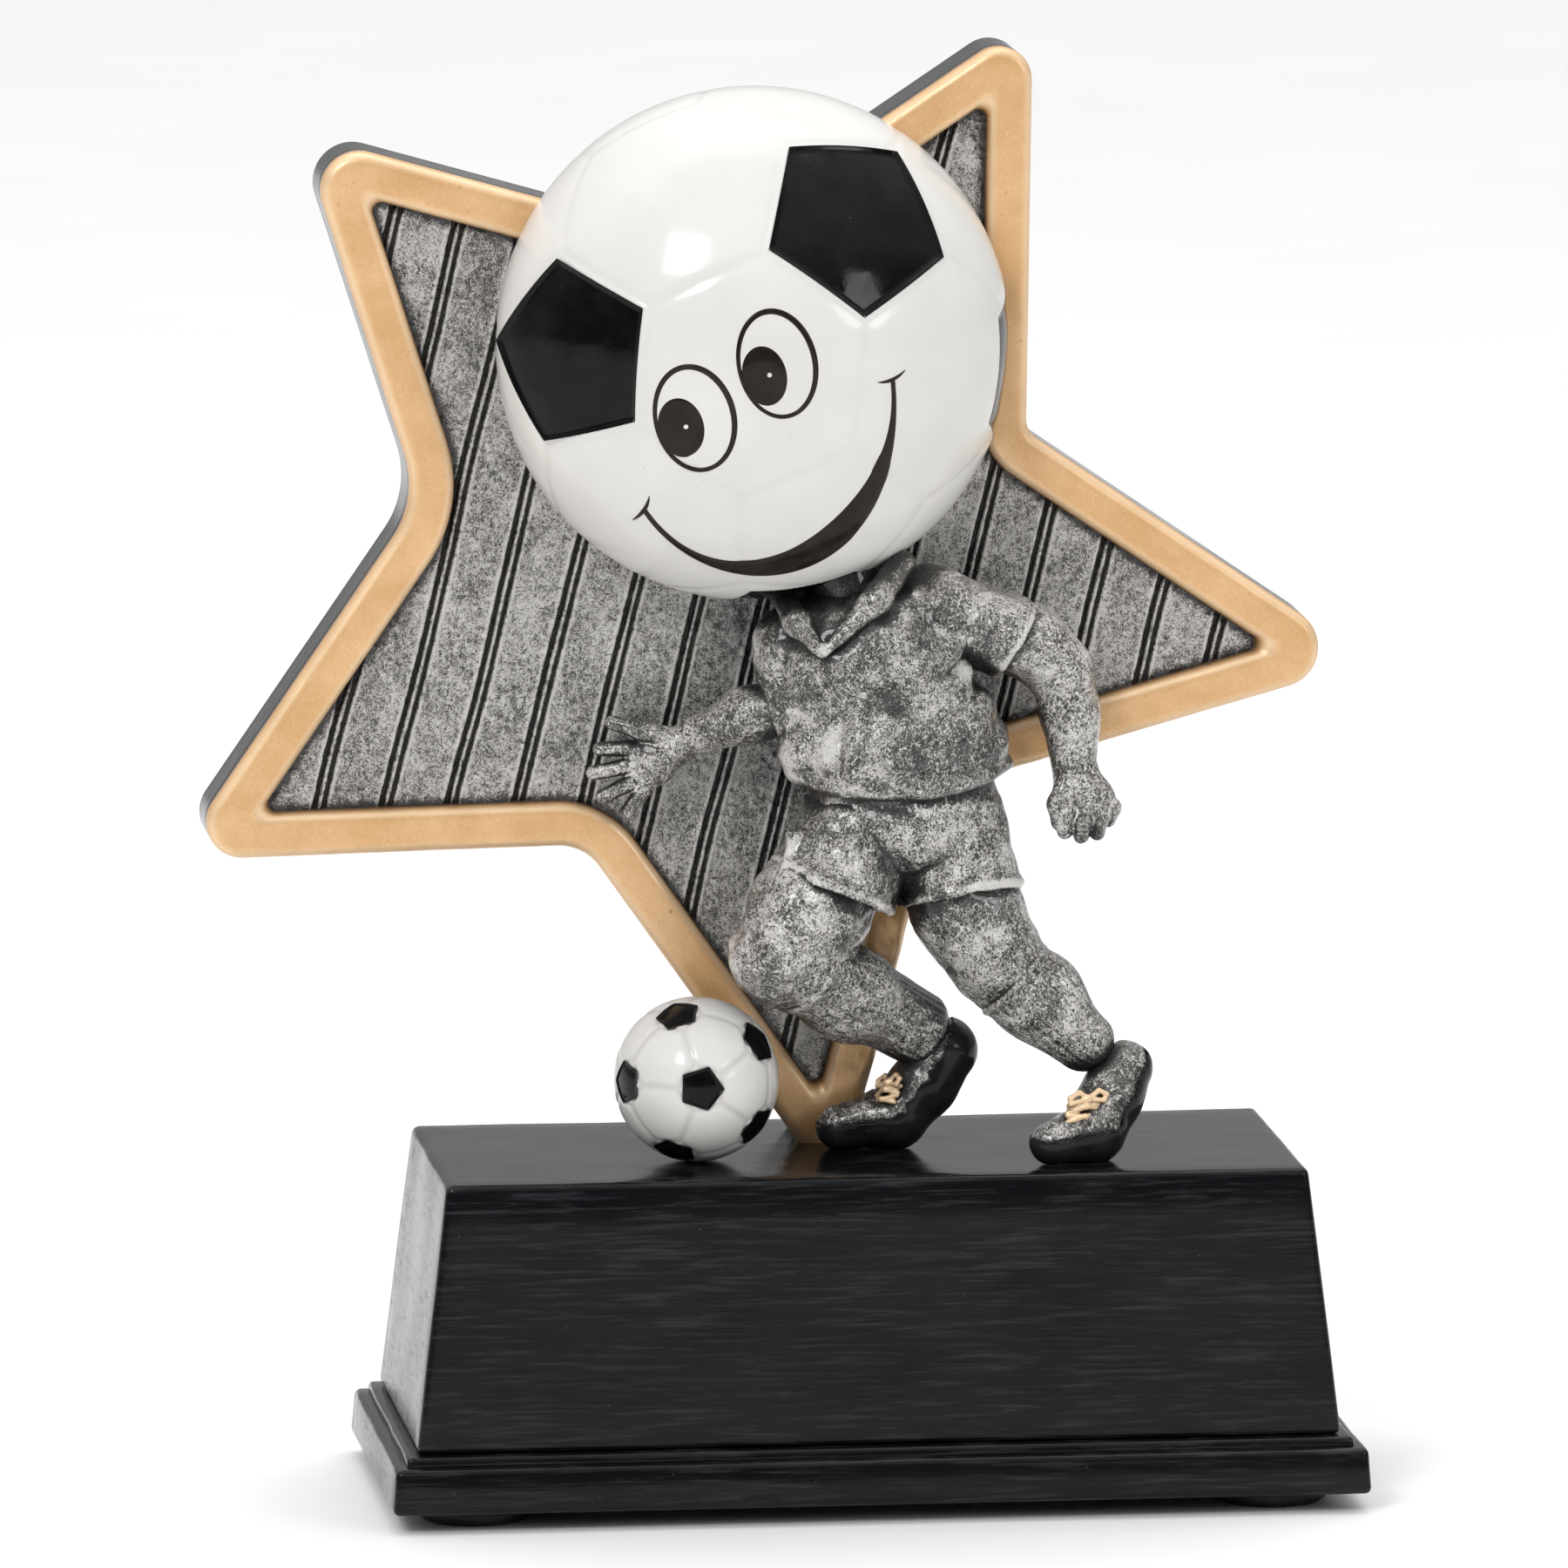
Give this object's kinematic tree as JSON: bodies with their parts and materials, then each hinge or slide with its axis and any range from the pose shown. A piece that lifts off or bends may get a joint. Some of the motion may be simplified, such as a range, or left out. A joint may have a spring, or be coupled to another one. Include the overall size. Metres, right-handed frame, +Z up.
{
  "type": "star trophy",
  "caption": "small resin award: a ball-headed football player and a ball in front of a tilted, gold-edged star on a black tapered plinth",
  "frame": {"origin": "on the resting plane, under the middle of the trophy's outline", "axes": "+Z up, -Y to the front (the side with the player's face), +X to the viewer's right"},
  "size_m": [0.0958, 0.0378, 0.1215],
  "materials": {
    "resin_black": "gloss black lacquer",
    "bumper": "matte",
    "antique_gold": "satin gold paint",
    "antique_silver": "dry-brushed silver over black, lacquered",
    "ball_white": "gloss white",
    "ball_black": "gloss black"
  },
  "bodies": {
    "root": {"base_block": "resin_black", "base_skirt": "resin_black", "foot_front_left": "bumper", "foot_front_right": "bumper", "foot_rear_left": "bumper", "foot_rear_right": "bumper", "star_backing": "resin_black", "star_border": "antique_gold", "star_panel": "antique_silver", "head_ball": "ball_white", "head_patches": "ball_black", "eye_outlines": "ball_black", "pupils": "ball_black", "smile": "ball_black", "neck": "antique_silver", "jersey": "antique_silver", "collar": "antique_silver", "sleeve_left": "antique_silver", "sleeve_right": "antique_silver", "arm_left": "antique_silver", "arm_right": "antique_silver", "hand_left": "antique_silver", "hand_right": "antique_silver", "shorts": "antique_silver", "shorts_leg_front": "antique_silver", "shorts_leg_rear": "antique_silver", "thigh_front": "antique_silver", "thigh_rear": "antique_silver", "sock_front": "antique_silver", "sock_rear": "antique_silver", "shoe_front": "antique_silver", "shoe_rear": "antique_silver", "sole_front": "ball_black", "sole_rear": "ball_black", "laces_front": "antique_gold", "laces_rear": "antique_gold", "small_ball": "ball_white", "small_ball_patches": "ball_black"}
  },
  "joints": []
}
